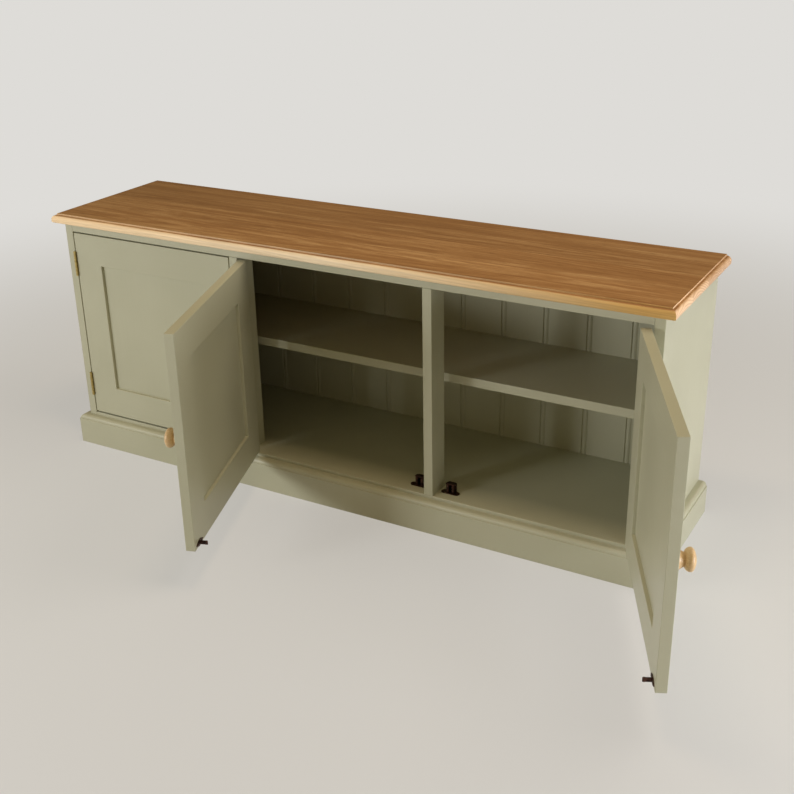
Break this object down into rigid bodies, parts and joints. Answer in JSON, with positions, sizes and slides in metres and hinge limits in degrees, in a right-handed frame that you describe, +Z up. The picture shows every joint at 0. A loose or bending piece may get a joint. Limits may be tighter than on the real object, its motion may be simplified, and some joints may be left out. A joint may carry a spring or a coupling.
{
  "type": "painted sideboard",
  "caption": "Low painted sideboard with a moulded oak top, inset framed doors on butt hinges, a full-length shelf, a beaded back and a moulded plinth.",
  "frame": {"origin": "on the ground in the middle of the carcass, on the underside of the middle base bearer", "axes": "+X along the front to the right, +Y from the doors to the back, +Z up"},
  "size_m": [1.6636, 0.7821, 0.591],
  "materials": {
    "sage_paint": "satin sage-green paint on timber",
    "oiled_oak": "oiled oak",
    "beech": "clear lacquered beech",
    "brass": "dulled solid brass",
    "bronzed_brass": "dark bronzed brass"
  },
  "bodies": {
    "carcass": {"top_board": "oiled_oak", "side_left": "sage_paint", "side_right": "sage_paint", "floor_board": "sage_paint", "rail_top_front": "sage_paint", "rail_top_back": "sage_paint", "post_left": "sage_paint", "post_right": "sage_paint", "rail_base_front": "sage_paint", "rail_base_back": "sage_paint", "bearer_base": "sage_paint", "plinth_front": "sage_paint", "plinth_left": "sage_paint", "plinth_right": "sage_paint", "shelf": "sage_paint", "batten_shelf": "sage_paint", "back_panel": "sage_paint", "hinge_leaf_door_left_upper": "brass", "hinge_leaf_door_left_lower": "brass", "hinge_leaf_door_middle_upper": "brass", "hinge_leaf_door_middle_lower": "brass", "hinge_leaf_door_right_upper": "brass", "hinge_leaf_door_right_lower": "brass", "catch_door_left": "bronzed_brass", "catch_door_middle": "bronzed_brass", "catch_door_right": "bronzed_brass"},
    "door_left": {"door_left_stile_hinge": "sage_paint", "door_left_stile_free": "sage_paint", "door_left_rail_top": "sage_paint", "door_left_rail_bottom": "sage_paint", "door_left_panel": "sage_paint", "door_left_knob": "beech", "door_left_strike": "bronzed_brass", "door_left_leaf_upper": "brass", "door_left_leaf_lower": "brass"},
    "door_middle": {"door_middle_stile_hinge": "sage_paint", "door_middle_stile_free": "sage_paint", "door_middle_rail_top": "sage_paint", "door_middle_rail_bottom": "sage_paint", "door_middle_panel": "sage_paint", "door_middle_knob": "beech", "door_middle_strike": "bronzed_brass", "door_middle_leaf_upper": "brass", "door_middle_leaf_lower": "brass"},
    "door_right": {"door_right_stile_hinge": "sage_paint", "door_right_stile_free": "sage_paint", "door_right_rail_top": "sage_paint", "door_right_rail_bottom": "sage_paint", "door_right_panel": "sage_paint", "door_right_knob": "beech", "door_right_strike": "bronzed_brass", "door_right_leaf_upper": "brass", "door_right_leaf_lower": "brass"},
    "roller_door_left_a": {"roller_door_left_a": "bronzed_brass"},
    "roller_door_left_b": {"roller_door_left_b": "bronzed_brass"},
    "roller_door_middle_a": {"roller_door_middle_a": "bronzed_brass"},
    "roller_door_middle_b": {"roller_door_middle_b": "bronzed_brass"},
    "roller_door_right_a": {"roller_door_right_a": "bronzed_brass"},
    "roller_door_right_b": {"roller_door_right_b": "bronzed_brass"}
  },
  "joints": [
    {"name": "door_left_hinge", "type": "hinge", "parent": "carcass", "child": "door_left", "pos_m": [-0.7053, -0.1778, 0.316], "axis": [0, 0, -1], "range_deg": [0, 175]},
    {"name": "door_middle_hinge", "type": "hinge", "parent": "carcass", "child": "door_middle", "pos_m": [-0.2273, -0.1778, 0.316], "axis": [0, 0, -1], "range_deg": [-70.85, 79.15]},
    {"name": "door_right_hinge", "type": "hinge", "parent": "carcass", "child": "door_right", "pos_m": [0.7053, -0.1778, 0.316], "axis": [0, 0, 1], "range_deg": [-115.35, 59.65]},
    {"name": "roller_door_left_a_slide", "type": "slide", "parent": "carcass", "child": "roller_door_left_a", "axis": [-1, 0, 0], "range_m": [0, 0.0015], "stiffness_N_per_m": 1500},
    {"name": "roller_door_left_b_slide", "type": "slide", "parent": "carcass", "child": "roller_door_left_b", "axis": [1, 0, 0], "range_m": [0, 0.0015], "stiffness_N_per_m": 1500},
    {"name": "roller_door_middle_a_slide", "type": "slide", "parent": "carcass", "child": "roller_door_middle_a", "axis": [-1, 0, 0], "range_m": [0, 0.0015], "stiffness_N_per_m": 1500},
    {"name": "roller_door_middle_b_slide", "type": "slide", "parent": "carcass", "child": "roller_door_middle_b", "axis": [1, 0, 0], "range_m": [0, 0.0015], "stiffness_N_per_m": 1500},
    {"name": "roller_door_right_a_slide", "type": "slide", "parent": "carcass", "child": "roller_door_right_a", "axis": [-1, 0, 0], "range_m": [0, 0.0015], "stiffness_N_per_m": 1500},
    {"name": "roller_door_right_b_slide", "type": "slide", "parent": "carcass", "child": "roller_door_right_b", "axis": [1, 0, 0], "range_m": [0, 0.0015], "stiffness_N_per_m": 1500}
  ]
}
